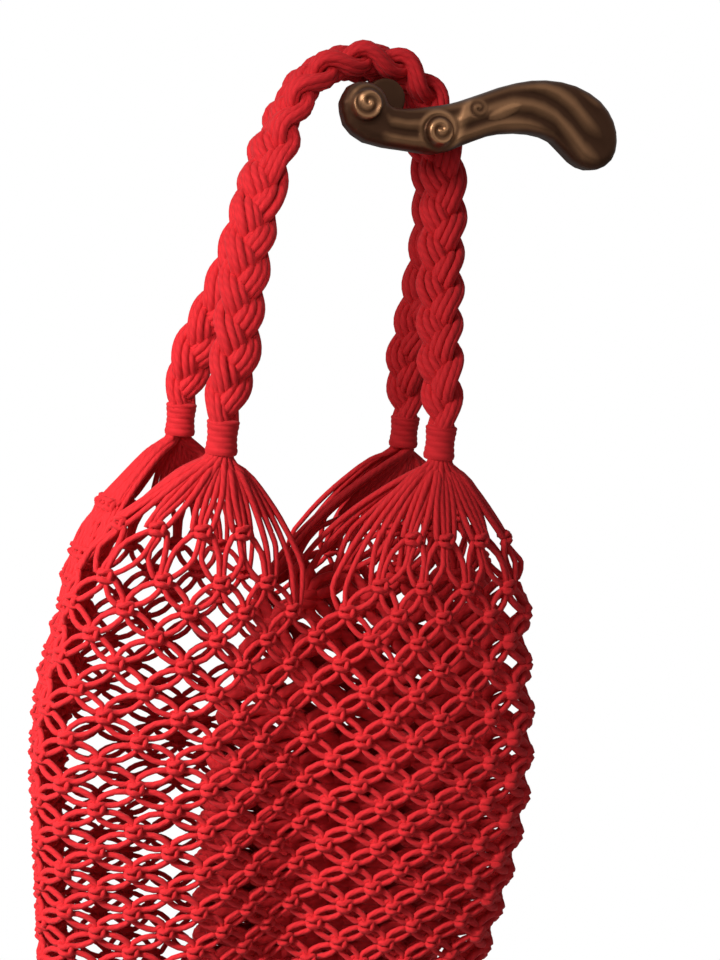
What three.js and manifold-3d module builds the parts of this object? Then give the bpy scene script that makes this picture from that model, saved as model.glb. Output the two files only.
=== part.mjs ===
// A knotted cord net bag that hangs by two plaited handles over the neck of a door lever.
// Millimetres. +X runs along the lever, +Y into the door, +Z up.
// The origin is the centre of the flat end of the lever's neck, where it meets the door. The blade
// and the bag are drawn about the middle of the bag's handles and then moved by bagPlace.
import * as THREE from 'three';
import { mergeVertices } from 'three/addons/utils/BufferGeometryUtils.js';
import Module from 'manifold-3d';

const bagPlace = { x: -9, z: -2 };

// Lever
const neckRadius = 9.5;
const neckLength = 54;
const bladeBack = -53;
const bladeDepth = 7;
const bladeRound = 4.5;
const bladeOutline = [
  [-15, -3], [-12, -13], [-1, -20], [20, -21.5], [34, -21.5], [46, -16], [60, -10], [76, -7.5], [89, -9],
  [97, -14.5], [105, -20], [114, -21], [121.5, -16], [123.5, -7], [120.5, 3], [112, 12], [98, 17.5],
  [82, 18], [67, 14.5], [53, 8.5], [40, 3], [29, 0], [16, -2.5], [8, -2], [4, 4.5], [-4, 7.5], [-11.5, 5],
];
const scrolls = [
  { x: -4.5, z: -3.5, radius: 8.5, height: 5 },
  { x: 31.5, z: -11.5, radius: 8, height: 5 },
];

// Gathers: where each group of cords is wrapped, at the corners of the bag
const wrapHeight = 17;
const wrapRadius = 8;
const gap = 0.3;
const slopedGap = 2.8;
const slotHalf = 0.27;
const gathers = [
  { name: 'front_right', x: 44.5, y: -75, drop: 148, firstAngle: -150, lastAngle: 60, slots: [2, 3, 7] },
  { name: 'back_right', x: 46, y: -12, drop: 151, firstAngle: -60, lastAngle: 150, slots: [2, 6, 7] },
  { name: 'back_left', x: -71, y: -12, drop: 151, firstAngle: 30, lastAngle: 240, slots: [2, 3] },
  { name: 'front_left', x: -61, y: -75, drop: 151, firstAngle: 120, lastAngle: 330, slots: [6, 7] },
];

// Net: columns of knots round the bag, counted from the low point of the front of the mouth
const columns = 36;
const gatherColumns = columns / gathers.length;
const netThickness = 3;
const mouthDrop = 252;
const shoulderDrop = 222;
const bottomDrop = 523;
const closingDrop = 430;
const seamCentre = -17;
const seamHalfWidth = 98;
const seamHalfDepth = 7;
const seamY = -40;

// Plan of the hanging net at each drop below the neck: the left and right edges, the front and back
// faces, the inner end of the deep fold on the right, the turn behind it and the tuck on the left
const plans = [
  { drop: 252, left: -126, right: 99, front: -90, back: -2, fold: -32, turn: 100, tuck: -113 },
  { drop: 293, left: -134, right: 104, front: -94, back: 1, fold: -45, turn: 105, tuck: -121 },
  { drop: 333, left: -135, right: 105, front: -96, back: 3, fold: -50, turn: 106, tuck: -122 },
  { drop: 378, left: -131, right: 101, front: -94, back: 4, fold: -50, turn: 103, tuck: -118 },
  { drop: 423, left: -127, right: 95, front: -88, back: 4, fold: -46, turn: 97, tuck: -114 },
  { drop: 523, left: -119, right: 85, front: -76, back: 2, fold: -20, turn: 87, tuck: -106 },
];

// Handles: the centre line of each plait from its left wrap, over the neck, to its right wrap
const strandRadius = 3.35;
const plaitWidth = 8.6;
const plaitDepth = 5.6;
const plaitGather = 4.2;
const plaitPeriod = 59;
const straightEnd = 17;
const handles = [
  {
    name: 'front',
    route: [
      [-61, -75, -150.7], [-61, -75, -144], [-57, -70.5, -122], [-55, -64, -94], [-51, -57.5, -66],
      [-45, -50.5, -40], [-37, -44.5, -14], [-23, -41, 9.8], [-3, -40.5, 20.2], [19, -40.5, 18.2],
      [33.5, -40.5, 4.5], [41.5, -40.5, -15], [45, -43.5, -37], [44, -52, -68], [42.5, -63, -100],
      [42.5, -72, -124], [44.5, -75, -141], [44.5, -75, -147.7],
    ],
    twistEnd: 0.4,
  },
  {
    name: 'back',
    route: [
      [-71, -12, -150.7], [-71, -12, -144], [-64, -12.5, -120], [-53, -13, -94], [-45, -13, -66],
      [-40, -13.5, -40], [-34, -13.5, -14], [-22, -13.5, 9.6], [-3, -13.5, 20.4], [19, -13.5, 18.4],
      [34.5, -13.5, 5.5], [45, -13.5, -14], [50.5, -13, -38], [51, -13, -68], [47.5, -12.5, -98],
      [44, -12, -124], [46, -12, -144], [46, -12, -150.7],
    ],
    twistEnd: 0.4,
  },
];

const cord = () => new THREE.MeshStandardMaterial({ color: 0xd81f28, roughness: 0.9, metalness: 0 });
const bronze = () => new THREE.MeshStandardMaterial({ color: 0x4a2f1f, roughness: 0.4, metalness: 0.9 });

const wasm = await Module();
wasm.setup();

// A value between the rows of a table, smooth through every row
function between(rows, index, share, key) {
  const row = (k) => rows[Math.min(rows.length - 1, Math.max(0, k))];
  const [a, b, c, d] = [row(index - 1), row(index), row(index + 1), row(index + 2)];
  const span = c.drop - b.drop;
  const startSlope = ((c[key] - a[key]) / (c.drop - a.drop)) * span;
  const endSlope = ((d[key] - b[key]) / (d.drop - b.drop)) * span;
  return hermite(b[key], startSlope, c[key], endSlope, share);
}

function hermite(start, startSlope, end, endSlope, t) {
  const square = t * t;
  const cube = square * t;
  return (2 * cube - 3 * square + 1) * start + (cube - 2 * square + t) * startSlope
    + (3 * square - 2 * cube) * end + (cube - square) * endSlope;
}

function smooth(t) {
  const share = Math.min(1, Math.max(0, t));
  return share * share * (3 - 2 * share);
}

// Named sizes of the plan at one drop
function planSizes(drop) {
  const last = plans.length - 2;
  const index = Math.min(last, Math.max(0, plans.findIndex((row) => row.drop > drop) - 1));
  const share = Math.min(1, Math.max(0, (drop - plans[index].drop) / (plans[index + 1].drop - plans[index].drop)));
  return Object.fromEntries(Object.keys(plans[0]).map((key) => [key, between(plans, index, share, key)]));
}

// Corners of the plan: the column that hangs there, and its x and y
function planCorners(drop) {
  const { left, right, front, back, fold, turn, tuck } = planSizes(drop);
  const valley = -10 - 0.02 * (drop - mouthDrop);
  const middle = (front + back) / 2;
  return [
    [0, valley, front + 11], [1.1, valley + 28, front + 3.5], [2.4, valley + 0.52 * (right - valley), front],
    [4, right - 12, front + 8], [4.7, right, front + 20], [5.3, right - 12, front + 32],
    [8.9, fold + 9, middle - 8], [9.35, fold, middle], [9.8, fold + 9, middle + 8],
    [13.4, turn - 12, back - 26], [14, turn, back - 14], [14.6, turn - 12, back - 3],
    [16.2, turn / 2 - 15, back - 1], [18, -19, back], [20, left / 2 - 4, back - 1],
    [21.6, left + 18, back - 4], [22.5, left + 3, back - 14], [23.4, left + 3, back - 27],
    [26.65, tuck - 3, middle + 4], [27, tuck, middle], [27.35, tuck - 3, middle - 4],
    [30.6, left + 5, front + 33], [31.4, left, front + 21], [32.1, left + 13, front + 9],
    [34, -59, front + 1], [35, -35, front + 5],
  ];
}

// Where a column hangs in plan at one drop
function planPoint(column, drop) {
  const corners = planCorners(drop);
  const count = corners.length;
  const wrapped = ((column % columns) + columns) % columns;
  const index = corners.findLastIndex((corner) => corner[0] <= wrapped);
  const corner = (k) => {
    const turns = Math.floor(k / count);
    const [at, x, y] = corners[k - turns * count];
    return [at + turns * columns, x, y];
  };
  const [a, b, c, d] = [corner(index - 1), corner(index), corner(index + 1), corner(index + 2)];
  const span = c[0] - b[0];
  const share = (wrapped - b[0]) / span;
  const axis = (k) => hermite(
    b[k], ((c[k] - a[k]) / (c[0] - a[0])) * span, c[k], ((d[k] - b[k]) / (d[0] - b[0])) * span, share,
  );
  return [axis(1), axis(2)];
}

// The flat loop in which the net is closed at the bottom, gathered towards its two ends
function seamPoint(column) {
  const angle = (2 * Math.PI * column) / columns;
  const deep = Math.sign(Math.cos(angle)) * Math.abs(Math.cos(angle)) ** 0.4;
  return [seamCentre + seamHalfWidth * Math.sin(angle), seamY - seamHalfDepth * deep];
}

// The net below the mouth: the hanging plan, drawn in to the flat loop near the bottom
function netPoint(column, drop) {
  const [hungX, hungY] = planPoint(column, drop);
  const [seamX, seamDepth] = seamPoint(column);
  const closed = (drop - closingDrop) / (bottomDrop - closingDrop);
  const x = THREE.MathUtils.lerp(hungX, seamX, smooth(closed));
  const y = THREE.MathUtils.lerp(hungY, seamDepth, smooth((closed - 0.1) / 0.9));
  return new THREE.Vector3(x, y, -drop);
}

// The cords between a wrap and the mouth spread from a ring under the wrap to the net
function spreadPoint(column, drop) {
  const wrapped = ((column % columns) + columns) % columns;
  const gather = gathers[Math.floor(wrapped / gatherColumns)];
  const share = (wrapped % gatherColumns) / gatherColumns;
  const angle = THREE.MathUtils.degToRad(THREE.MathUtils.lerp(gather.firstAngle, gather.lastAngle, share));
  const ringRadius = wrapRadius - netThickness / 2 - 0.6;
  const ring = new THREE.Vector3(
    gather.x + ringRadius * Math.cos(angle), gather.y + ringRadius * Math.sin(angle), 0,
  );
  const top = gather.drop + wrapHeight;
  const fallen = Math.max(0, (drop - top) / (mouthDrop - top));
  const point = ring.lerp(netPoint(column, mouthDrop), 1 - (1 - fallen) ** 2.2);
  point.z = -drop;
  return point;
}

function sheetPoint(column, drop) {
  return drop < mouthDrop ? spreadPoint(column, drop) : netPoint(column, drop);
}

// A point on the outer (side 1) or inner (side -1) face of the net, level with its middle
function facePoint(column, drop, side) {
  const step = 0.05;
  const along = sheetPoint(column + step, drop).sub(sheetPoint(column - step, drop));
  const outward = new THREE.Vector3(along.y, -along.x, 0).normalize();
  return sheetPoint(column, drop).addScaledVector(outward, (side * netThickness) / 2);
}

// Drop of the net's top edge: level under each gather, low where two gathers meet
function edgeDrop(column) {
  const wrapped = ((column % gatherColumns) + gatherColumns) % gatherColumns;
  const fromMeeting = Math.min(wrapped, gatherColumns - wrapped);
  return mouthDrop - (mouthDrop - shoulderDrop) * Math.min(1, fromMeeting);
}

// A closed sheet from a grid of cells with an outer and an inner face. Missing cells are openings,
// and every free edge gets a wall.
function sheetGeometry({ across, down, wraps = false, openBelow = true, missing = () => false, corner }) {
  const positions = [];
  const push = (...points) => points.forEach((point) => positions.push(point.x, point.y, point.z));
  const quad = (a, b, c, d) => push(a, b, c, a, c, d);
  const present = (i, j) => {
    const column = wraps ? (i + across) % across : i;
    return column >= 0 && column < across && j >= 0 && j < down && !missing(column, j);
  };
  for (let i = 0; i < across; i += 1) {
    for (let j = 0; j < down; j += 1) {
      if (!present(i, j)) continue;
      const grid = [[i, j], [i, j + 1], [i + 1, j + 1], [i + 1, j]];
      const outer = grid.map(([a, b]) => corner(a, b, 1));
      const inner = grid.map(([a, b]) => corner(a, b, -1));
      quad(...outer);
      quad(inner[3], inner[2], inner[1], inner[0]);
      if (!present(i - 1, j)) quad(outer[1], outer[0], inner[0], inner[1]);
      if (!present(i + 1, j)) quad(outer[3], outer[2], inner[2], inner[3]);
      if (!present(i, j - 1)) quad(outer[0], outer[3], inner[3], inner[0]);
      if (!present(i, j + 1) && (openBelow || j + 1 < down)) quad(outer[2], outer[1], inner[1], inner[2]);
    }
  }
  const geometry = new THREE.BufferGeometry();
  geometry.setAttribute('position', new THREE.Float32BufferAttribute(positions, 3));
  return mergeVertices(geometry, 1e-3);
}

// The net from its scalloped top edge to its closed bottom
function netGeometry() {
  const across = 72;
  const rows = [mouthDrop + 12, 300, 335, 370, 405, closingDrop, 453, 476, 500, bottomDrop];
  const corner = (i, j, side) => {
    const column = (i * columns) / across;
    if (j === 0) return facePoint(column, edgeDrop(column) + slopedGap / 2, side);
    if (j <= rows.length) return facePoint(column, rows[j - 1], side);
    const [x] = seamPoint(column);
    return new THREE.Vector3(x, seamY, -bottomDrop - (side * netThickness) / 2);
  };
  return sheetGeometry({ across, down: rows.length + 1, wraps: true, openBelow: false, corner });
}

// The comb of cords from one wrap to the net, with the widest gaps between them left open
function spreadGeometry(gather, index) {
  const first = index * gatherColumns;
  const cuts = [0.5, 1];
  for (let k = 1; k < gatherColumns; k += 1) {
    if (gather.slots.includes(k)) cuts.push(k - slotHalf, k + slotHalf);
    else if (k > 1 && k < gatherColumns - 1) cuts.push(k);
  }
  cuts.push(gatherColumns - 1, gatherColumns - 0.5);
  const lines = [...new Set(cuts)].sort((a, b) => a - b);
  const top = gather.drop + wrapHeight + gap;
  const levels = [0, 0.12, 0.28, 0.48, 0.72, 1];
  const isSlot = (i) => gather.slots.some((k) => Math.abs((lines[i] + lines[i + 1]) / 2 - k) < slotHalf);
  const corner = (i, j, side) => {
    const column = first + lines[i];
    const end = edgeDrop(column) - slopedGap / 2;
    return facePoint(column, top + (end - top) * levels[j], side);
  };
  return sheetGeometry({
    across: lines.length - 1, down: levels.length - 1, missing: (i, j) => isSlot(i) && j >= 2, corner,
  });
}

function wrapGeometry() {
  const soft = 1.2;
  const profile = [
    [0, 0], [wrapRadius - soft, 0], [wrapRadius, soft], [wrapRadius, wrapHeight - soft],
    [wrapRadius - soft, wrapHeight], [0, wrapHeight],
  ].map(([radius, height]) => new THREE.Vector2(radius, height));
  return new THREE.LatheGeometry(profile, 16).rotateX(Math.PI / 2);
}

// One of the three strands of a plait: it swings across the plait once and in depth twice a period
class PlaitStrand extends THREE.Curve {
  constructor(handle, strand) {
    super();
    this.line = new THREE.CatmullRomCurve3(handle.route.map((point) => new THREE.Vector3(...point)));
    this.length = this.line.getLength();
    this.handle = handle;
    this.strand = strand;
  }

  getPoint(t, target = new THREE.Vector3()) {
    const plaitedLength = this.length - 2 * straightEnd;
    const crossings = Math.round((6 * plaitedLength) / plaitPeriod);
    const plaited = (t * this.length - straightEnd) / plaitedLength;
    const turns = (crossings * THREE.MathUtils.clamp(plaited, 0, 1)) / 6 + this.strand / 3;
    const angle = Math.PI / 6 + 2 * Math.PI * turns;
    const tangent = this.line.getTangentAt(t);
    const level = new THREE.Vector3(0, 1, 0).projectOnPlane(tangent).normalize();
    const twist = (Math.PI / 2) * smooth((this.handle.twistEnd - t) / 0.16);
    const across = level.applyAxisAngle(tangent, twist);
    const deep = tangent.clone().cross(across);
    const fromEnd = Math.min(t, 1 - t) * this.length;
    const opened = smooth((fromEnd - 4) / 22);
    const width = THREE.MathUtils.lerp(plaitGather, plaitWidth, opened);
    const depth = THREE.MathUtils.lerp(plaitGather, plaitDepth, opened);
    return target.copy(this.line.getPointAt(t))
      .addScaledVector(across, width * Math.sin(angle))
      .addScaledVector(deep, depth * Math.sin(2 * angle));
  }
}

function strandGeometry(handle, strand) {
  const sides = 6;
  const corners = Array.from({ length: sides }, (_, k) => {
    const angle = (2 * Math.PI * k) / sides;
    return new THREE.Vector2(strandRadius * Math.cos(angle), strandRadius * Math.sin(angle));
  });
  const path = new PlaitStrand(handle, strand);
  const steps = Math.round(path.length / 6);
  return new THREE.ExtrudeGeometry(new THREE.Shape(corners), { extrudePath: path, steps, bevelEnabled: false });
}

// manifold-3d's form of a closed geometry
function solid(geometry) {
  const bare = geometry.clone();
  bare.deleteAttribute('normal');
  bare.deleteAttribute('uv');
  const merged = mergeVertices(bare, 1e-4);
  return new wasm.Manifold(new wasm.Mesh({
    numProp: 3,
    vertProperties: new Float32Array(merged.attributes.position.array),
    triVerts: new Uint32Array(merged.index.array),
  }));
}

function geometryOf(manifold) {
  const mesh = manifold.getMesh();
  const geometry = new THREE.BufferGeometry();
  geometry.setAttribute('position', new THREE.BufferAttribute(mesh.vertProperties, 3));
  geometry.setIndex(new THREE.BufferAttribute(mesh.triVerts, 1));
  return geometry;
}

// Lever: a waved blade with a scroll at each end of its thick part, on a round neck
function leverGeometry() {
  const outline = new THREE.Shape();
  const points = bladeOutline.map(([x, z]) => new THREE.Vector2(x, z));
  outline.moveTo(points[0].x, points[0].y);
  outline.splineThru([...points.slice(1), points[0]]);
  const blade = new THREE.ExtrudeGeometry(outline, {
    depth: bladeDepth, curveSegments: 2, bevelThickness: bladeRound, bevelSize: bladeRound,
    bevelOffset: -bladeRound, bevelSegments: 3,
  }).rotateX(Math.PI / 2).translate(0, bladeBack - bladeRound, 0);
  const neck = new THREE.CylinderGeometry(neckRadius, neckRadius, neckLength, 24)
    .translate(-bagPlace.x, -neckLength / 2, -bagPlace.z);
  const bladeFront = bladeBack - 2 * bladeRound - bladeDepth;
  const knobs = scrolls.map(({ x, z, radius, height }) => {
    const boss = new THREE.CylinderGeometry(radius, radius - 2, height, 20);
    return solid(boss.translate(x, bladeFront - height / 2 + 2, z));
  });
  return geometryOf(knobs.reduce((whole, knob) => whole.add(knob), solid(blade).add(solid(neck))));
}

const group = new THREE.Group();

function place(name, geometry, material, x = 0, y = 0, z = 0) {
  const mesh = new THREE.Mesh(geometry, material);
  mesh.name = name;
  mesh.position.set(bagPlace.x + x, y, bagPlace.z + z);
  group.add(mesh);
}

place('lever', leverGeometry(), bronze());
place('net', netGeometry(), cord());
gathers.forEach((gather, index) => {
  place(`spread_${gather.name}`, spreadGeometry(gather, index), cord());
  place(`wrap_${gather.name}`, wrapGeometry(), cord(), gather.x, gather.y, -gather.drop - wrapHeight);
});
handles.forEach((handle) => {
  [0, 1, 2].forEach((strand) => {
    place(`plait_${handle.name}_${strand + 1}`, strandGeometry(handle, strand), cord());
  });
});

export default group;
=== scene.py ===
import math
import bpy
import numpy as np
from mathutils import Matrix, Vector


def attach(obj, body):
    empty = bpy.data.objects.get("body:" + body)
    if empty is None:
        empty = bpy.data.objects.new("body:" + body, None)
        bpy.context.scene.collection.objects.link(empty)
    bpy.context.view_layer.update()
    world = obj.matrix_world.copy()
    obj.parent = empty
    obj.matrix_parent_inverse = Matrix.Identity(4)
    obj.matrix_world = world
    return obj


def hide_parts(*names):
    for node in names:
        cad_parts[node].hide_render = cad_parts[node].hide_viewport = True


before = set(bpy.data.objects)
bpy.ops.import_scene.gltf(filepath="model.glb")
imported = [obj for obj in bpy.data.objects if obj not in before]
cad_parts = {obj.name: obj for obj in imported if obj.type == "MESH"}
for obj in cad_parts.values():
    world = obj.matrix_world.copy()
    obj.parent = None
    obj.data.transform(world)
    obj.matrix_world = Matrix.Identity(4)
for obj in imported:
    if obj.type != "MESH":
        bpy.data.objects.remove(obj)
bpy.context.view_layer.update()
mm = 0.001
bagPlace = np.array([-9.0, 0, -2])  # the drawing's middle, from the neck, in millimetres


# Camera, lights and floor
view = {
    'place': (-0.1831, -0.7359, -0.0750), 'azimuth': -16, 'elevation': 8.4, 'roll': 5, 'lens': 55,
}


def addCamera():
    azimuth, elevation, roll = (math.radians(view[k]) for k in ('azimuth', 'elevation', 'roll'))
    back = Vector((math.sin(azimuth) * math.cos(elevation), -math.cos(azimuth) * math.cos(elevation),
                   math.sin(elevation)))
    right = (-back).cross(Vector((0, 0, 1))).normalized()
    up = right.cross(-back)
    right, up = (right * math.cos(roll) + up * math.sin(roll), up * math.cos(roll) - right * math.sin(roll))
    bpy.ops.object.camera_add()
    camera = bpy.context.object
    turn = Matrix((right, up, back)).transposed().to_4x4()
    camera.matrix_world = Matrix.Translation(Vector(view['place']) + Vector(bagPlace * mm)) @ turn
    camera.data.lens = view['lens']
    camera.data.clip_start = 0.01
    bpy.context.scene.camera = camera


studio = {
    'keyPlace': (-1.45, -0.75, 0.6), 'keySize': 0.9, 'keyPower': 20,
    'keyTarget': (-0.03, -0.045, -0.22),
    'spots': [
        {
            'name': 'handleSpot', 'place': (-0.42, -1, 0.2), 'target': (-0.15, -0.05, -0.03),
            'power': 56, 'angle': 15,
        },
        {
            'name': 'netSpot', 'place': (-0.9, -0.55, 0.35), 'target': (-0.155, -0.05, -0.34),
            'power': 62, 'angle': 28,
        },
    ],
    'spotSize': 0.06, 'ambient': 0.17, 'reflected': 0.45, 'floorDrop': 0.75, 'floorSize': 30,
}


def addLamp(kind, name, place, target, power):
    place, target = Vector(place), Vector(target)
    bpy.ops.object.light_add(type=kind, location=place)
    lamp = bpy.context.object
    lamp.name = name
    lamp.data.energy = power
    lamp.rotation_euler = (target - place).to_track_quat('-Z', 'Y').to_euler()
    return lamp.data


def addLamps():
    key = addLamp('AREA', 'key', studio['keyPlace'], studio['keyTarget'], studio['keyPower'])
    key.size = studio['keySize']
    for spot in studio['spots']:
        lamp = addLamp('SPOT', spot['name'], spot['place'], spot['target'], spot['power'])
        lamp.spot_size = math.radians(spot['angle'])
        lamp.spot_blend = 1
        lamp.shadow_soft_size = studio['spotSize']


class Socket:  # a shader socket that can be added, subtracted and multiplied
    def __init__(self, nodes, out):
        self.nodes, self.out = nodes, out

    def maths(self, operation, *values):
        return self.nodes.add('ShaderNodeMath', {'operation': operation}, *values)

    def atLeast(self, other):
        return self.maths('MAXIMUM', self, other)

    def __add__(self, other):
        return self.maths('ADD', self, other)

    def __radd__(self, other):
        return self.maths('ADD', other, self)

    def __sub__(self, other):
        return self.maths('SUBTRACT', self, other)

    def __rsub__(self, other):
        return self.maths('SUBTRACT', other, self)

    def __mul__(self, other):
        return self.maths('MULTIPLY', self, other)

    def __rmul__(self, other):
        return self.maths('MULTIPLY', other, self)


class Nodes:  # one material's or world's node tree
    def __init__(self, owner):
        owner.use_nodes = True
        self.tree = owner.node_tree
        self.tree.nodes.clear()

    def make(self, kind, settings, values):
        node = self.tree.nodes.new(kind)
        for key, value in settings.items():
            setattr(node, key, value)
        for key, value in values.items():
            if isinstance(value, Socket):
                self.tree.links.new(value.out, node.inputs[key])
            elif value is not None:
                node.inputs[key].default_value = value
        return node

    def add(self, kind, settings={}, *values, out=0, **named):
        byPlace = {i: v for i, v in enumerate(values)}
        byName = {k.replace('_', ' '): v for k, v in named.items()}
        node = self.make(kind, settings, {**byPlace, **byName})
        return Socket(self, node.outputs[out])

    def mix(self, factor, first, second):
        node = self.make('ShaderNodeMix', {'data_type': 'RGBA'}, {0: factor, 6: first, 7: second})
        return Socket(self, node.outputs[2])

    def finish(self, shader, kind='ShaderNodeOutputMaterial'):
        self.make(kind, {}, {0: shader})


# shade is the darker red used both for random tone and for painted shade in the grooves between plies
cordFinish = {
    'red': (0.76, 0.019, 0.026, 1), 'shade': (0.47, 0.008, 0.012, 1), 'roughness': 0.85, 'gloss': 0.3,
    'sheen': 0.12, 'sheenTint': (1, 0.35, 0.35, 1), 'plies': 3, 'pliesPerMetre': 190,
}


def cordMaterial():
    # UV: x runs round the cord once, y is the distance along it in metres
    material = bpy.data.materials.new('matteRedCord')
    n = Nodes(material)
    place = n.add('ShaderNodeTexCoord', out=3)  # object coordinates
    uv = n.add('ShaderNodeTexCoord', out=2)
    spun = n.make('ShaderNodeSeparateXYZ', {}, {0: uv})
    around, along = Socket(n, spun.outputs[0]), Socket(n, spun.outputs[1])
    ply = (around * cordFinish['plies'] + along * cordFinish['pliesPerMetre']) * (2 * math.pi)
    ribs = n.add('ShaderNodeMath', {'operation': 'SINE'}, ply) * 0.5 + 0.5
    fuzz = n.add('ShaderNodeTexNoise', {}, Vector=place, Scale=2600.0, Detail=3.0)
    patches = n.add('ShaderNodeTexNoise', {}, Vector=place, Scale=55.0, Detail=2.0)
    # painted shade: the ribs share darkens the grooves between plies; the patches and fuzz shares are
    # random tone of the cord
    tone = patches * 0.35 + fuzz * 0.25 + ribs * 0.35
    colour = n.mix(tone, cordFinish['shade'], cordFinish['red'])
    bump = n.add('ShaderNodeBump', {}, Strength=0.35, Distance=0.0003, Height=ribs * 0.6 + fuzz * 0.4)
    shader = n.add(
        'ShaderNodeBsdfPrincipled', {}, Base_Color=colour, Roughness=cordFinish['roughness'], Normal=bump,
        Specular_IOR_Level=cordFinish['gloss'], Sheen_Weight=cordFinish['sheen'], Sheen_Roughness=0.5,
        Sheen_Tint=cordFinish['sheenTint'],
    )
    n.finish(shader)
    return material


bronzeFinish = {'dark': (0.075, 0.031, 0.015, 1), 'light': (0.5, 0.25, 0.12, 1), 'metallic': 0.85}


def bronzeMaterial():
    material = bpy.data.materials.new('agedBronze')
    n = Nodes(material)
    place = n.add('ShaderNodeTexCoord', out=3)  # object coordinates
    patches = n.add('ShaderNodeTexNoise', {}, Vector=place, Scale=38.0, Detail=4.0)
    grain = n.add('ShaderNodeTexNoise', {}, Vector=place, Scale=900.0, Detail=2.0)
    raised = n.add('ShaderNodeVertexColor', {'layer_name': 'raised'})
    worn = n.add('ShaderNodeMapRange', {}, raised * 0.75 + patches * 0.5, 0.3, 1.0, 0.0, 1.0)
    colour = n.mix(worn, bronzeFinish['dark'], bronzeFinish['light'])
    bump = n.add('ShaderNodeBump', {}, Strength=0.12, Distance=0.0002, Height=grain + patches * 0.6)
    shader = n.add(
        'ShaderNodeBsdfPrincipled', {}, Base_Color=colour, Metallic=bronzeFinish['metallic'],
        Roughness=0.44 - worn * 0.12, Normal=bump,
    )
    n.finish(shader)
    return material


def backdrop():
    # white to the camera, greyer in reflections, and a faint light on the object
    world = bpy.data.worlds.new('whiteRoom')
    bpy.context.scene.world = world
    n = Nodes(world)
    path = n.make('ShaderNodeLightPath', {}, {})
    camera, through, mirrored = (
        Socket(n, path.outputs['Is %s Ray' % kind]) for kind in ('Camera', 'Transmission', 'Glossy'))
    seen = camera.atLeast(through).atLeast(mirrored * studio['reflected'])
    strength = seen * (1 - studio['ambient']) + studio['ambient']
    shader = n.add('ShaderNodeBackground', {}, Color=(1, 1, 1, 1), Strength=strength)
    n.finish(shader, 'ShaderNodeOutputWorld')


def addFloor():
    # white to the camera and matte to the light
    bpy.ops.mesh.primitive_plane_add(size=studio['floorSize'], location=(0, 0, -studio['floorDrop']))
    floor = bpy.context.object
    floor.name = 'floor'
    material = bpy.data.materials.new('paleFloor')
    n = Nodes(material)
    path = n.make('ShaderNodeLightPath', {}, {})
    matte = n.add('ShaderNodeBsdfDiffuse', {}, Color=(0.8, 0.8, 0.8, 1))
    white = n.add('ShaderNodeEmission', {}, Color=(1, 1, 1, 1), Strength=1.0)
    seen = Socket(n, path.outputs['Is Camera Ray'])
    n.finish(n.add('ShaderNodeMixShader', {}, seen, matte, white))
    floor.data.materials.append(material)


def smoothStep(t):
    t = np.clip(t, 0, 1)
    return t * t * (3 - 2 * t)


def curveThrough(points, steps):
    # Catmull-Rom through the points, with that many steps between neighbours
    points = np.asarray(points, float)
    ends = np.vstack([2 * points[0] - points[1], points, 2 * points[-1] - points[-2]])
    t = (np.arange(steps) / steps)[None, :, None]
    a, b, c, d = (ends[k:len(ends) - 3 + k, None] for k in range(4))
    line = 0.5 * (2 * b + (c - a) * t + (2 * a - 5 * b + 4 * c - d) * t ** 2
                  + (3 * b - a - 3 * c + d) * t ** 3)
    return np.vstack([line.reshape(-1, 3), points[-1:]])


def thinned(line, longest, sharpest):
    # keeps a point wherever the line has run or turned far enough since the last one
    step = np.diff(line, axis=0)
    size = np.linalg.norm(step, axis=1)
    way = step / np.maximum(size, 1e-9)[:, None]
    turn = np.degrees(np.arccos(np.clip((way[1:] * way[:-1]).sum(1), -1, 1)))
    spent = np.concatenate([[0], size / longest])
    spent[1:-1] += turn / sharpest
    spent = np.cumsum(spent)
    count = max(2, int(round(spent[-1])) + 1)
    keep = np.unique(np.searchsorted(spent, np.linspace(0, spent[-1], count)).clip(0, len(line) - 1))
    return line[keep]


def tube(line, radius, sides):
    # a closed tube round a line, with a frame that doesn't twist; UV y is the distance along
    line = np.asarray(line, float)
    way = np.gradient(line, axis=0)
    way /= np.linalg.norm(way, axis=1)[:, None]
    side = np.cross(way[0], (0.3, 0.5, 0.8))
    sideways = np.empty_like(line)
    for k in range(len(line)):
        side = side - way[k] * (side @ way[k])
        side /= np.linalg.norm(side)
        sideways[k] = side
    other = np.cross(way, sideways)
    angle = 2 * np.pi * np.arange(sides) / sides
    ring = np.cos(angle)[None, :, None] * sideways[:, None] + np.sin(angle)[None, :, None] * other[:, None]
    radius = np.broadcast_to(np.asarray(radius, float), len(line))[:, None, None]
    points = line[:, None] + ring * radius
    rings, k = np.meshgrid(np.arange(len(line) - 1), np.arange(sides), indexing='ij')
    near, far = rings * sides, (rings + 1) * sides
    nextK = (k + 1) % sides
    quads = np.stack([near + k, near + nextK, far + nextK, far + k], axis=-1).reshape(-1, 4)
    run = np.concatenate([[0], np.cumsum(np.linalg.norm(np.diff(line, axis=0), axis=1))]) * mm
    around = np.stack([k, k + 1, k + 1, k], axis=-1).reshape(-1, 4) / sides
    along = np.stack([run[rings], run[rings], run[rings + 1], run[rings + 1]], axis=-1).reshape(-1, 4)
    last = (len(line) - 1) * sides
    caps = [list(range(sides))[::-1], [last + j for j in range(sides)]]
    return points.reshape(-1, 3), quads, np.stack([around, along], axis=-1).reshape(-1, 2), caps


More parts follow.
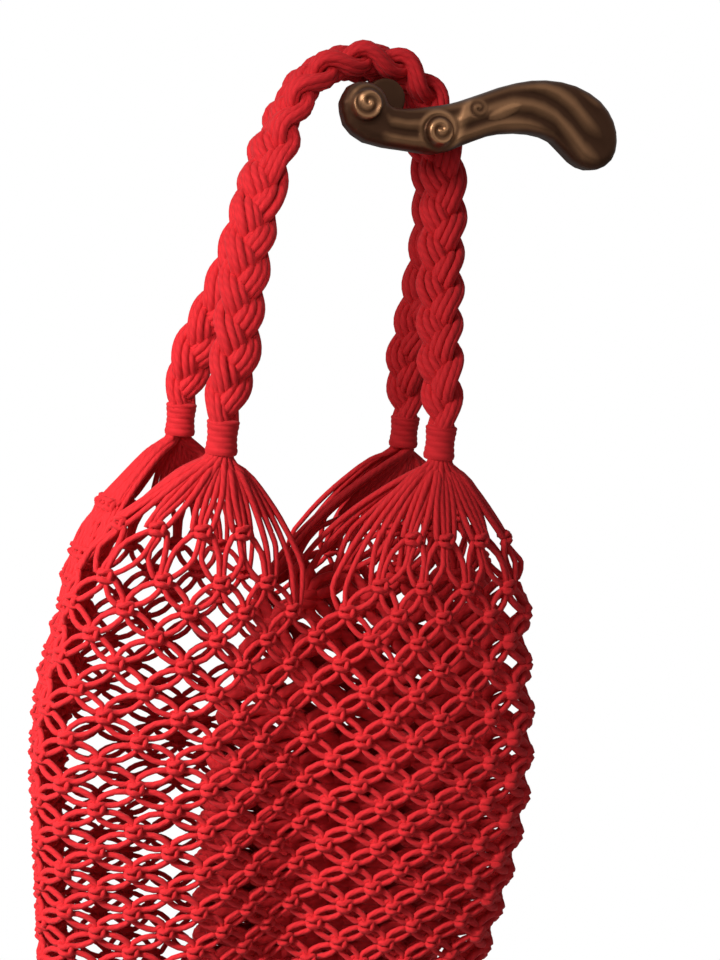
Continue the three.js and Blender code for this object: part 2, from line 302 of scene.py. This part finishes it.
def joinedMesh(name, tubes, material):
    # one mesh from many tubes given in millimetres
    points, faces, uvs, capFaces, start = [], [], [], [], 0
    for vertices, quads, uv, caps in tubes:
        points.append(vertices)
        faces.append(quads + start)
        uvs.append(uv)
        capFaces += [[v + start for v in cap] for cap in caps]
        start += len(vertices)
    quads = np.concatenate(faces)
    corners = np.concatenate([quads.ravel(), np.array([v for cap in capFaces for v in cap], int)])
    sizes = np.concatenate([np.full(len(quads), 4), [len(cap) for cap in capFaces]]).astype(int)
    mesh = bpy.data.meshes.new(name)
    mesh.vertices.add(start)
    mesh.vertices.foreach_set('co', ((np.concatenate(points) + bagPlace) * mm).ravel())
    mesh.loops.add(len(corners))
    mesh.loops.foreach_set('vertex_index', corners)
    mesh.polygons.add(len(sizes))
    mesh.polygons.foreach_set('loop_start', np.concatenate([[0], np.cumsum(sizes)[:-1]]))
    mesh.polygons.foreach_set('loop_total', sizes)
    mesh.update(calc_edges=True)
    layer = mesh.uv_layers.new(name='cord')
    allUvs = np.zeros((len(corners), 2))
    flat = np.concatenate(uvs)
    allUvs[:len(flat)] = flat
    layer.data.foreach_set('uv', allUvs.ravel())
    mesh.shade_smooth()
    piece = bpy.data.objects.new(name, mesh)
    bpy.context.scene.collection.objects.link(piece)
    piece.data.materials.append(material)
    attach(piece, 'root')
    print(name, len(sizes), 'faces')
    return piece


# Sizes are in millimetres. Columns of knots run round the net from the front's middle, first to the right.
# A drop is a distance below the drawing's middle, and an ease is the length over which a change fades in.
netSize = {
    'columns': 36, 'gatherColumns': 9, 'cordsPerGather': 36, 'cordsPerKnot': 4,
    'mouthDrop': 252, 'closingDrop': 430, 'depthLag': 0.1, 'bottomDrop': 523,
    'seamCentre': -17, 'seamHalfWidth': 98, 'seamHalfDepth': 7, 'seamSquareness': 0.4, 'seamY': -40,
    'wrapHeight': 17, 'wrapRadius': 8, 'wrapWall': 0.6, 'sheet': 3, 'fanFlare': 2.1, 'bow': 0.165,
    'cordRadius': 1.42, 'sides': 6, 'longestStep': 6.5, 'sharpestTurn': 40,
}
pressedCords = {
    'startDrop': 215, 'fanExtra': 0.3, 'fanEase': 45, 'foldEase': 25,
    'foldColumns': (3.4, 4.4, 6.5, 12.5, 14.6, 15.6), 'foldExtra': (0, 1.2, 1.6, 1.6, 1.2, 0),
}
sagging = {
    'columns': (4.6, 6, 8.8, 10, 12.4, 14, 18), 'depths': (0, 5.2, 5.6, 8.6, 8.6, 0.6, 0),
    'startDrop': 235, 'aboveBottom': 8, 'ease': 40,
}
gathers = [
    {
        'name': 'FrontRight', 'node': 'front_right', 'x': 44.5, 'y': -75, 'drop': 148,
        'firstAngle': -150, 'lastAngle': 60,
    },
    {
        'name': 'BackRight', 'node': 'back_right', 'x': 46, 'y': -12, 'drop': 151,
        'firstAngle': -60, 'lastAngle': 150,
    },
    {
        'name': 'BackLeft', 'node': 'back_left', 'x': -71, 'y': -12, 'drop': 151,
        'firstAngle': 30, 'lastAngle': 240,
    },
    {
        'name': 'FrontLeft', 'node': 'front_left', 'x': -61, 'y': -75, 'drop': 151,
        'firstAngle': 120, 'lastAngle': 330,
    },
]
plans = np.array([  # drop, left, right, front, back, fold, turn and tuck
    (252, -126, 99, -90, -2, -32, 100, -113),
    (293, -134, 104, -94, 1, -45, 105, -121),
    (333, -135, 105, -96, 3, -50, 106, -122),
    (378, -131, 101, -94, 4, -50, 103, -118),
    (423, -127, 95, -88, 4, -46, 97, -114),
    (523, -119, 85, -76, 2, -20, 87, -106),
], float)


def hermite(start, startSlope, end, endSlope, t):
    return ((2 * t ** 3 - 3 * t ** 2 + 1) * start + (t ** 3 - 2 * t ** 2 + t) * startSlope
            + (3 * t ** 2 - 2 * t ** 3) * end + (t ** 3 - t ** 2) * endSlope)


def planCorners(drop):
    # corners of the plan at one drop: the column that hangs there, and its x and y
    drop = min(max(drop, plans[0, 0]), plans[-1, 0])
    index = min(len(plans) - 2, max(0, int(np.searchsorted(plans[:, 0], drop, side='right')) - 1))
    row = [plans[min(len(plans) - 1, max(0, index + k))] for k in (-1, 0, 1, 2)]
    span = row[2][0] - row[1][0]
    share = (drop - row[1][0]) / span
    slopes = [(row[k + 2] - row[k]) / (row[k + 2][0] - row[k][0]) * span for k in (0, 1)]
    left, right, front, back, fold, turn, tuck = hermite(row[1], slopes[0], row[2], slopes[1], share)[1:]
    valley = -10 - 0.02 * (drop - netSize['mouthDrop'])
    middle = (front + back) / 2
    return np.array([
        (0, valley, front + 11), (1.1, valley + 28, front + 3.5),
        (2.4, valley + 0.52 * (right - valley), front), (4, right - 12, front + 8),
        (4.7, right, front + 20), (5.3, right - 12, front + 32),
        (8.9, fold + 9, middle - 8), (9.35, fold, middle), (9.8, fold + 9, middle + 8),
        (13.4, turn - 12, back - 26), (14, turn, back - 14), (14.6, turn - 12, back - 3),
        (16.2, turn / 2 - 15, back - 1), (18, -19, back), (20, left / 2 - 4, back - 1),
        (21.6, left + 18, back - 4), (22.5, left + 3, back - 14), (23.4, left + 3, back - 27),
        (26.65, tuck - 3, middle + 4), (27, tuck, middle), (27.35, tuck - 3, middle - 4),
        (30.6, left + 5, front + 33), (31.4, left, front + 21), (32.1, left + 13, front + 9),
        (34, -59, front + 1), (35, -35, front + 5),
    ])


def planPoints(columns, drop):
    # where the columns hang in plan at one drop
    count = netSize['columns']
    corners = planCorners(drop)
    laps = np.concatenate([corners[-1:] - (count, 0, 0), corners, corners[:2] + (count, 0, 0)])
    wrapped = np.mod(columns, count)
    index = np.searchsorted(laps[:, 0], wrapped, side='right') - 1
    index = np.where(index < 1, index + len(corners), index)
    before = np.concatenate([corners[-2:-1] - (count, 0, 0), laps])
    wrapped = np.where(wrapped < laps[index, 0], wrapped + count, wrapped)
    a, b, c = before[index], laps[index], laps[index + 1]
    after = np.concatenate([laps, corners[2:3] + (count, 0, 0)])
    d = after[index + 2]
    span = (c[:, 0] - b[:, 0])[:, None]
    share = (wrapped[:, None] - b[:, :1]) / span
    startSlope = (c - a)[:, 1:] / (c - a)[:, :1] * span
    endSlope = (d - b)[:, 1:] / (d - b)[:, :1] * span
    return hermite(b[:, 1:], startSlope, c[:, 1:], endSlope, share)


def seamPoints(columns):
    angle = 2 * np.pi * columns / netSize['columns']
    deep = np.sign(np.cos(angle)) * np.abs(np.cos(angle)) ** netSize['seamSquareness']
    return np.stack([netSize['seamCentre'] + netSize['seamHalfWidth'] * np.sin(angle),
                     netSize['seamY'] - netSize['seamHalfDepth'] * deep], axis=-1)


def foldSag(columns, drop):
    # how much lower the rows of knots lie in the right side's fold than in the rest of the net
    sag = np.interp(np.mod(columns, netSize['columns']), sagging['columns'], sagging['depths'])
    begun = smoothStep((drop - sagging['startDrop']) / sagging['ease'])
    left = smoothStep((netSize['bottomDrop'] - sagging['aboveBottom'] - drop) / sagging['ease'])
    return sag * begun * left


def sheetPoints(columns, drop):
    # the middle of the net or of a fan of cords, at these columns and one drop
    columns = np.atleast_1d(np.asarray(columns, float))
    mouth = netSize['mouthDrop']
    hung = planPoints(columns, max(drop, mouth))
    closed = (drop - netSize['closingDrop']) / (netSize['bottomDrop'] - netSize['closingDrop'])
    lag = netSize['depthLag']
    blend = np.array([smoothStep(closed), smoothStep((closed - lag) / (1 - lag))])
    place = hung + (seamPoints(columns) - hung) * blend
    if drop < mouth:
        wrapped = np.mod(columns, netSize['columns'])
        which = (wrapped // netSize['gatherColumns']).astype(int)
        share = wrapped / netSize['gatherColumns'] - which
        low, high, x, y, top = (
            np.array([g[k] for g in gathers])[which] for k in ('firstAngle', 'lastAngle', 'x', 'y', 'drop'))
        angle = np.radians(low + (high - low) * share)
        radius = netSize['wrapRadius'] - netSize['sheet'] / 2 - netSize['wrapWall']
        ring = np.stack([x + radius * np.cos(angle), y + radius * np.sin(angle)], axis=-1)
        top = top + netSize['wrapHeight']
        fallen = np.maximum(0, (drop - top) / (mouth - top))
        place = ring + (place - ring) * (1 - (1 - fallen) ** netSize['fanFlare'])[:, None]
    return np.column_stack([place, -drop - foldSag(columns, drop)])


# Square knots: rows of (across, down, outward) in millimetres for each of a knot's four cords,
# from the left: a working cord, two filler cords and the other working cord
knotRoutes = {
    'leftWorking': np.array([
        (-4.5, -1.6, 0.3), (-2.4, -2.5, -0.9), (0, -2.1, -2), (2.2, -1.9, -0.7), (2.9, -1.3, 1),
        (3.1, 0, 1.9), (2.9, 1.3, 1), (2.2, 1.9, -0.7), (0, 2.1, -2), (-2.4, 2.5, -0.9),
        (-4.5, 1.6, 0.3),
    ]),
    'leftFiller': np.array([(-1, -4.4, 0), (-0.8, 0, 0), (-1, 4.4, 0)]),
    'rightFiller': np.array([(1, -4.4, 0), (0.8, 0, 0), (1, 4.4, 0)]),
    'rightWorking': np.array([
        (4.5, -1.6, -0.3), (2, -2.5, 1), (-0.3, -1.7, 2.4), (-2.2, -1.7, 1.6), (-3, 0, -0.1),
        (-2.2, 1.7, 1.6), (-0.3, 1.7, 2.4), (2, 2.5, 1), (4.5, 1.6, -0.3),
    ]),
}
knotRoles = list(knotRoutes)
knotSteps = {
    'fanDrops': (202, 225, 239), 'fanColumns': ((1.5, 7.5), (1, 8), (0.5, 8.5)), 'full': 22,
    'first': 12.6, 'shrinkage': 0.4, 'evenFrom': 6, 'even': 10.3, 'evenTo': 13, 'growth': 0.62,
    'aboveBottom': 6, 'nudge': 0.04,
}


def knotRows():
    # the drop of each row of knots: three short rows in each fan, then the full rows
    drops = [*knotSteps['fanDrops'], netSize['mouthDrop']]
    for row in range(knotSteps['full']):
        if row < knotSteps['evenFrom']:
            step = knotSteps['first'] - knotSteps['shrinkage'] * row
        else:
            step = knotSteps['even'] + knotSteps['growth'] * max(0, row - knotSteps['evenTo'])
        drops.append(drops[-1] + step)
    return [drop for drop in drops if drop < netSize['bottomDrop'] - knotSteps['aboveBottom']]


def knotFrames(drop):
    # for every half column at one row: its point, and the across, down and outward directions
    columns = np.arange(0, netSize['columns'], 0.5)
    centre = sheetPoints(columns, drop)
    nudge = knotSteps['nudge']
    across = sheetPoints(columns + nudge, drop) - sheetPoints(columns - nudge, drop)
    across /= np.linalg.norm(across, axis=1)[:, None]
    down = sheetPoints(columns, drop + 1) - sheetPoints(columns, drop - 1)
    down -= across * (down * across).sum(1)[:, None]
    down /= np.linalg.norm(down, axis=1)[:, None]
    return centre, across, down, np.cross(down, across)


fanCords = {
    'seed': 7, 'layers': (0.78, 0.5, 0.2), 'inward': 0.8, 'insideWrap': 8, 'belowWrap': 1,
    'startBelow': 8, 'endAbove': 9, 'step': 11, 'lift': 1.3,
}


def cordKnots(cord, gatherIndex, rows):
    # the knots that a cord goes through: the row, the column and the cord's part in the knot
    perKnot = netSize['cordsPerKnot']
    knots = []
    for row in range(rows):
        between = row % 2 == 0  # every second row lies half a column to the side
        shifted = cord if between else cord + perKnot // 2
        column = shifted // perKnot + (0.5 if between else 0)
        inGather = column - netSize['gatherColumns'] * gatherIndex
        if row < len(knotSteps['fanColumns']):
            first, last = knotSteps['fanColumns'][row]
            if not first <= inGather <= last:
                continue
        knots.append((row, column, knotRoles[shifted % perKnot]))
    return knots


def fanPoints(gather, column, layer, firstDrop, rng):
    # one cord from inside the wrap down the fan, as far as its first knot
    points = []
    top = gather['drop'] + netSize['wrapHeight']
    for drop in (top - fanCords['insideWrap'], top + fanCords['belowWrap']):
        outer = sheetPoints(column, drop)[0]
        inward = np.array([gather['x'], gather['y'], -drop]) - outer
        points.append(outer + inward * (1 - layer) * fanCords['inward'])
    lift = rng.uniform(-fanCords['lift'], fanCords['lift'])
    for drop in np.arange(top + fanCords['startBelow'], firstDrop - fanCords['endAbove'], fanCords['step']):
        here = sheetPoints([column, column + knotSteps['nudge']], drop)
        along = here[1] - here[0]
        outward = np.array([along[1], -along[0], 0]) / max(1e-6, np.hypot(along[0], along[1]))
        points.append(here[0] + outward * lift * (1 - (drop - top) / (firstDrop - top)))
    return points


def netCords(gatherIndex):
    # the cords that hang from one wrap, each from inside the wrap to the bottom
    drops = knotRows()
    frames = [knotFrames(drop) for drop in drops]
    rng = np.random.default_rng(fanCords['seed'] + gatherIndex)
    lines = []
    for local in range(netSize['cordsPerGather']):
        cord = netSize['cordsPerGather'] * gatherIndex + local
        column = (cord + 0.5) / netSize['cordsPerKnot']
        knots = cordKnots(cord, gatherIndex, len(drops))
        layer = fanCords['layers'][local % len(fanCords['layers'])]
        points = fanPoints(gathers[gatherIndex], column, layer, drops[knots[0][0]], rng)
        previous = None
        for row, place, role in knots:
            index = int(round(place * 2)) % (2 * netSize['columns'])
            centre, across, down, outward = (part[index] for part in frames[row])
            if previous is not None:
                # the pair bows apart between two knots
                lastRow, lastPlace, lastRole, lastCentre = previous
                middle = sheetPoints((lastPlace + place) / 2, (drops[lastRow] + drops[row]) / 2)[0]
                sign = 1 if lastRole in ('leftWorking', 'rightWorking') else -1
                if place < lastPlace:
                    sign = -sign
                points.append(middle + np.cross(outward, centre - lastCentre) * sign * netSize['bow'])
            route = knotRoutes[role]
            points += list(centre + route[:, :1] * across + route[:, 1:2] * down + route[:, 2:] * outward)
            previous = (row, place, role, centre)
        points.append(sheetPoints(column, netSize['bottomDrop'] - 1)[0])
        lines.append(thinned(curveThrough(points, 5), netSize['longestStep'], netSize['sharpestTurn']))
    return lines


def addNet(material):
    for index, gather in enumerate(gathers):
        tubes = []
        for local, line in enumerate(netCords(index)):
            # cords look wider where they are pressed, above the first knots and in the fold
            column = (netSize['cordsPerGather'] * index + local) / netSize['cordsPerKnot']
            foldExtra = np.interp(column, pressedCords['foldColumns'], pressedCords['foldExtra'])
            below = -line[:, 2] - pressedCords['startDrop']
            inFan = smoothStep(-below / pressedCords['fanEase'])
            inFold = smoothStep(below / pressedCords['foldEase'])
            radius = netSize['cordRadius'] + pressedCords['fanExtra'] * inFan + foldExtra * inFold
            tubes.append(tube(line, radius, netSize['sides']))
        piece = joinedMesh('net' + gather['name'], tubes, material)
        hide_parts('net', 'spread_' + gather['node'])


seamCords = [  # the height and the depth from the seam's middle, and the radius
    (0, 0, 2.8), (-1.4, -2.2, 1.5), (-1.4, 2.2, 1.5), (2, 0.6, 1.5),
]
seamWave = {'height': 0.5, 'length': 9, 'points': 80, 'sides': 8, 'past': 1}


def addSeam(material):
    # the cords' ends are bound together along the bottom
    tubes = []
    reach = netSize['seamHalfWidth'] + seamWave['past']
    x = np.linspace(-reach, reach, seamWave['points']) + netSize['seamCentre']
    for lift, deep, radius in seamCords:
        y = netSize['seamY'] + deep + seamWave['height'] * np.sin(x / seamWave['length'] + lift * 2)
        line = np.stack([x, y, np.full(len(x), -netSize['bottomDrop'] + lift)], axis=-1)
        tubes.append(tube(line, radius, seamWave['sides']))
    piece = joinedMesh('netSeam', tubes, material)
    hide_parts('net')


plaitSize = {
    'width': 5.4, 'depth': 4.2, 'gather': 2.8, 'period': 56, 'crossings': 6,
    'straightEnd': 2, 'opening': 26, 'tuckedIn': 4, 'routeSteps': 24, 'pathStep': 1.2,
    'cords': 8, 'cordRadius': 1.9, 'coreRadius': 2.2, 'flatWide': 4.6, 'flatEnd': 2.6, 'flatDeep': 2.3,
    'seed': 3, 'unevenTurn': 0.12, 'wander': 0.25, 'step': 3.2, 'sides': 8,
}
# Where a plait's broad side turns to the front, as shares of its length from the left wrap.
plaitTwist = {
    'leftEnd': 0.4, 'leftEase': 0.16, 'leftTurn': np.pi / 2,
    'rightStart': 0.51, 'rightEase': 0.18, 'rightTurn': np.pi / 3,
    'lastStart': 0.78, 'lastEase': 0.13, 'lastShare': 0.25,
}
handles = [
    {
        'name': 'Front', 'node': 'front',
        'route': [
            (-61, -75, -150.7), (-61, -75, -144), (-57, -70.5, -122), (-55, -64, -94), (-51, -57.5, -66),
            (-45, -50.5, -40), (-37, -44.5, -14), (-23, -41, 9.8), (-3, -40.5, 20.2), (19, -40.5, 18.2),
            (33.5, -40.5, 4.5), (41.5, -40.5, -15), (45, -43.5, -37), (44, -52, -68), (42.5, -63, -100),
            (42.5, -72, -124), (44.5, -75, -141), (44.5, -75, -147.7),
        ],
    },
    {
        'name': 'Back', 'node': 'back',
        'route': [
            (-71, -12, -150.7), (-71, -12, -144), (-64, -12.5, -120), (-53, -13, -94), (-45, -13, -66),
            (-40, -13.5, -40), (-34, -13.5, -14), (-22, -13.5, 9.6), (-3, -13.5, 20.4), (19, -13.5, 18.4),
            (34.5, -13.5, 5.5), (45, -13.5, -14), (50.5, -13, -38), (51, -13, -68), (47.5, -12.5, -98),
            (44, -12, -124), (46, -12, -144), (46, -12, -150.7),
        ],
    },
]


def evenly(line, step):
    # the line again with even steps, and the distance along it
    run = np.concatenate([[0], np.cumsum(np.linalg.norm(np.diff(line, axis=0), axis=1))])
    at = np.linspace(0, run[-1], int(round(run[-1] / step)) + 1)
    return np.stack([np.interp(at, run, line[:, k]) for k in range(3)], axis=-1), at


def strandPath(handle, strand):
    # the middle of one strand, the plait's depth direction beside it, and how far the strands have opened
    route = np.array(handle['route'], float)
    tucked = np.array([0, 0, plaitSize['tuckedIn']])
    route = np.vstack([route[:1] - tucked, route, route[-1:] - tucked])
    middle, at = evenly(curveThrough(route, plaitSize['routeSteps']), plaitSize['pathStep'])
    length = at[-1]
    plaited = length - 2 * plaitSize['straightEnd']
    crossings = round(plaitSize['crossings'] * plaited / plaitSize['period'])
    share = np.clip((at - plaitSize['straightEnd']) / plaited, 0, 1)
    angle = np.pi / 6 + 2 * np.pi * (crossings * share / plaitSize['crossings'] + strand / 3)
    way = np.gradient(middle, axis=0)
    way /= np.linalg.norm(way, axis=1)[:, None]
    level = np.array([0.0, 1, 0]) - way * way[:, 1:2]
    level /= np.linalg.norm(level, axis=1)[:, None]
    t = at / length
    left = smoothStep((plaitTwist['leftEnd'] - t) / plaitTwist['leftEase'])
    right = smoothStep((t - plaitTwist['rightStart']) / plaitTwist['rightEase'])
    last = smoothStep((t - plaitTwist['lastStart']) / plaitTwist['lastEase'])
    right = right * (1 - plaitTwist['lastShare'] * last)
    twist = (left * plaitTwist['leftTurn'] - right * plaitTwist['rightTurn'])[:, None]
    across = level * np.cos(twist) + np.cross(way, level) * np.sin(twist)
    deep = np.cross(way, across)
    opened = smoothStep(np.minimum(at, length - at) / plaitSize['opening'])
    width = plaitSize['gather'] + (plaitSize['width'] - plaitSize['gather']) * opened
    depth = plaitSize['gather'] + (plaitSize['depth'] - plaitSize['gather']) * opened
    path = middle + across * (width * np.sin(angle))[:, None] + deep * (depth * np.sin(2 * angle))[:, None]
    return path, deep, opened


def strandTubes(path, deep, opened, rng):
    # one strand: cords side by side round a core, pressed flat
    sides, step = plaitSize['sides'], plaitSize['step']
    way = np.gradient(path, axis=0)
    way /= np.linalg.norm(way, axis=1)[:, None]
    thin = deep - way * (deep * way).sum(1)[:, None]
    thin /= np.linalg.norm(thin, axis=1)[:, None]
    wide = np.cross(way, thin)
    flatWide = plaitSize['flatEnd'] + (plaitSize['flatWide'] - plaitSize['flatEnd']) * opened
    tubes = []
    for cord in range(plaitSize['cords']):
        uneven = rng.uniform(-plaitSize['unevenTurn'], plaitSize['unevenTurn'])
        turn = 2 * np.pi * cord / plaitSize['cords'] + uneven
        wave = np.sin(np.arange(len(path)) / rng.uniform(9, 16) + rng.uniform(0, 6))
        line = (path + wide * (flatWide * np.cos(turn) + plaitSize['wander'] * wave)[:, None]
                + thin * (plaitSize['flatDeep'] * np.sin(turn)))
        tubes.append(tube(evenly(line, step)[0], plaitSize['cordRadius'], sides))
    tubes.append(tube(evenly(path, step)[0], plaitSize['coreRadius'], sides))
    return tubes


def addHandles(material):
    rng = np.random.default_rng(plaitSize['seed'])
    for handle in handles:
        for strand in range(3):
            tubes = strandTubes(*strandPath(handle, strand), rng)
            piece = joinedMesh('plait%s%d' % (handle['name'], strand + 1), tubes, material)
            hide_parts('plait_%s_%d' % (handle['node'], strand + 1))


wrapSize = {
    'rings': 58, 'sides': 40, 'roundedShare': 0.1, 'endRadius': 0.65,
    'inset': 0.9, 'waist': 0.35, 'turnHeight': 0.28, 'turnPitch': 2.6,
}


def addWraps(material):
    # a cord wound round each gather, as one soft sleeve with faint turns
    height, endRadius = netSize['wrapHeight'], wrapSize['endRadius']
    down = np.linspace(0, 1, wrapSize['rings'])
    fromEnd = np.minimum(down, 1 - down) / wrapSize['roundedShare']
    rounded = np.sqrt(1 - np.clip(1 - fromEnd, 0, 1) ** 2) * (1 - endRadius) + endRadius
    turns = wrapSize['turnHeight'] * np.abs(np.sin(down * height / wrapSize['turnPitch'] * np.pi))
    waist = wrapSize['waist'] * np.cos(down * 2 * np.pi)
    radius = (netSize['wrapRadius'] - wrapSize['inset'] + waist + turns) * rounded
    for gather in gathers:
        top = np.array([gather['x'], gather['y'], -gather['drop']])
        line = top - np.outer(height * down, (0, 0, 1))
        piece = joinedMesh('wrap' + gather['name'], [tube(line, radius, wrapSize['sides'])], material)
        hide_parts('wrap_' + gather['node'])


# The outline runs from the left scroll along the lower edge to its point lowerEnd, and back along the top.
# A start or an end is a place and the length over which it fades.
leverSize = {
    'voxel': 0.0008, 'front': -69, 'edge': 8, 'edgeEase': 4, 'fullyWorn': 1.6, 'outline': [
        (-15, -3), (-12, -13), (-1, -20), (20, -21.5), (34, -21.5), (46, -16), (60, -10), (76, -7.5),
        (89, -9), (97, -14.5), (105, -20), (114, -21), (121.5, -16), (123.5, -7), (120.5, 3), (112, 12),
        (98, 17.5), (82, 18), (67, 14.5), (53, 8.5), (40, 3), (29, 0), (16, -2.5), (8, -2), (4, 4.5),
        (-4, 7.5), (-11.5, 5),
    ],
    'lowerEnd': 13, 'border': 0.12,
    'flutes': 2.5, 'fluteHeight': 0.9, 'fluteStart': (2, 10), 'fluteEnd': (102, 18),
    'sweep': 0.5, 'sweepStart': (62, 60),
    'collar': 44, 'collarSlant': 0.25, 'collarWidth': 2.2, 'collarHeight': 1.3,
    'leaf': (63, 1), 'leafSize': (9, 2.8), 'leafSlope': 28, 'leafHeight': 1.5, 'besideLeaf': 0.5,
    'scrollEdge': 0.72, 'scrollFall': 0.55, 'scrollFloor': 0.15,
}
scrolls = [
    {'x': -4, 'z': -2.5, 'radius': 10, 'pitch': 4.6, 'hand': -1, 'height': 2.2, 'start': 1.2},
    {'x': 31.5, 'z': -11, 'radius': 11, 'pitch': 5, 'hand': 1, 'height': 2.4, 'start': 2.6},
    {'x': 50, 'z': 1, 'radius': 5, 'pitch': 3.2, 'hand': 1, 'height': 1.1, 'start': 0.4},
]


def leverRelief(x, z):
    # how far the front of the lever stands out from its plain face
    size = leverSize
    outline = np.array(size['outline'], float)
    lower, upper = outline[:size['lowerEnd'] + 1], outline[size['lowerEnd']:][::-1]
    bottom, top = np.interp(x, lower[:, 0], lower[:, 1]), np.interp(x, upper[:, 0], upper[:, 1])
    share = np.clip((z - bottom) / np.maximum(top - bottom, 1), 0, 1)
    begun, ended, swept = (
        smoothStep((x - size[key][0]) / size[key][1]) for key in ('fluteStart', 'fluteEnd', 'sweepStart'))
    ridge = 0.5 - 0.5 * np.cos(2 * np.pi * size['flutes'] * (share + size['sweep'] * swept))
    inside = smoothStep(share / size['border']) * smoothStep((1 - share) / size['border'])
    relief = size['fluteHeight'] * ridge * inside * (begun * (1 - ended))
    besideCollar = (x - size['collar'] - size['collarSlant'] * z) / size['collarWidth']
    relief += size['collarHeight'] * np.exp(-besideCollar ** 2) * inside
    slope = math.radians(size['leafSlope'])
    dx, dz = x - size['leaf'][0], z - size['leaf'][1]
    lengthwise = (dx * math.cos(slope) + dz * math.sin(slope)) / size['leafSize'][0]
    sideways = (dz * math.cos(slope) - dx * math.sin(slope)) / size['leafSize'][1]
    leaf = np.sqrt(np.clip(1 - lengthwise ** 2 - sideways ** 2, 0, 1))
    relief = relief * (1 - size['besideLeaf'] * smoothStep(leaf * 4)) + size['leafHeight'] * leaf
    edge, floor = size['scrollEdge'], size['scrollFloor']
    for scroll in scrolls:
        dx, dz = x - scroll['x'], z - scroll['z']
        away = np.hypot(dx, dz)
        angle = np.arctan2(dz, dx) * scroll['hand']
        wave = 0.5 + 0.5 * np.cos(2 * np.pi * away / scroll['pitch'] - angle - scroll['start'])
        near = 1 - smoothStep((away - scroll['radius'] * edge) / (scroll['radius'] * (1 - edge)))
        dome = 1 - size['scrollFall'] * away / scroll['radius']
        relief = relief * (1 - near) + scroll['height'] * near * (floor + (1 - floor) * wave) * dome
    return relief


def addLever(material):
    # the CAD's lever with a finer skin, its ornament raised from the front
    bpy.ops.object.select_all(action='DESELECT')
    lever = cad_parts['lever'].copy()
    lever.data = lever.data.copy()
    bpy.context.scene.collection.objects.link(lever)
    lever.name = 'scrolledLever'
    lever.parent = None
    lever.matrix_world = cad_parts['lever'].matrix_world
    lever.select_set(True)
    bpy.context.view_layer.objects.active = lever
    bpy.ops.object.transform_apply(location=True, rotation=True, scale=True)
    remesh = lever.modifiers.new('skin', 'REMESH')
    remesh.mode, remesh.voxel_size = 'VOXEL', leverSize['voxel']
    bpy.ops.object.modifier_apply(modifier='skin')
    mesh = lever.data
    points = np.empty(len(mesh.vertices) * 3)
    mesh.vertices.foreach_get('co', points)
    points = points.reshape(-1, 3) / mm - bagPlace
    facing = np.empty(len(points) * 3)
    mesh.vertices.foreach_get('normal', facing)
    facing = np.clip(-facing.reshape(-1, 3)[:, 1], 0, 1)
    onBlade = smoothStep((leverSize['front'] + leverSize['edge'] - points[:, 1]) / leverSize['edgeEase'])
    relief = leverRelief(points[:, 0], points[:, 2]) * facing * onBlade
    points[:, 1] -= relief
    mesh.vertices.foreach_set('co', ((points + bagPlace) * mm).ravel())
    raised = mesh.color_attributes.new('raised', 'FLOAT_COLOR', 'POINT')
    tone = np.clip(relief / leverSize['fullyWorn'], 0, 1)
    raised.data.foreach_set('color', np.column_stack([tone, tone, tone, np.ones(len(tone))]).ravel())
    mesh.materials.clear()
    mesh.materials.append(material)
    mesh.shade_smooth()
    mesh.update()
    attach(lever, 'root')
    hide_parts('lever')
    print('scrolledLever', len(mesh.polygons), 'faces')


bpy.context.scene.view_settings.view_transform = 'Standard'
addCamera()
addLamps()
backdrop()
addFloor()
print('camera, lights and floor ready')

cord = cordMaterial()
bronze = bronzeMaterial()
addNet(cord)
addSeam(cord)
print('net made')
addHandles(cord)
print('handles made')
addWraps(cord)
addLever(bronze)
print('wraps and lever made')
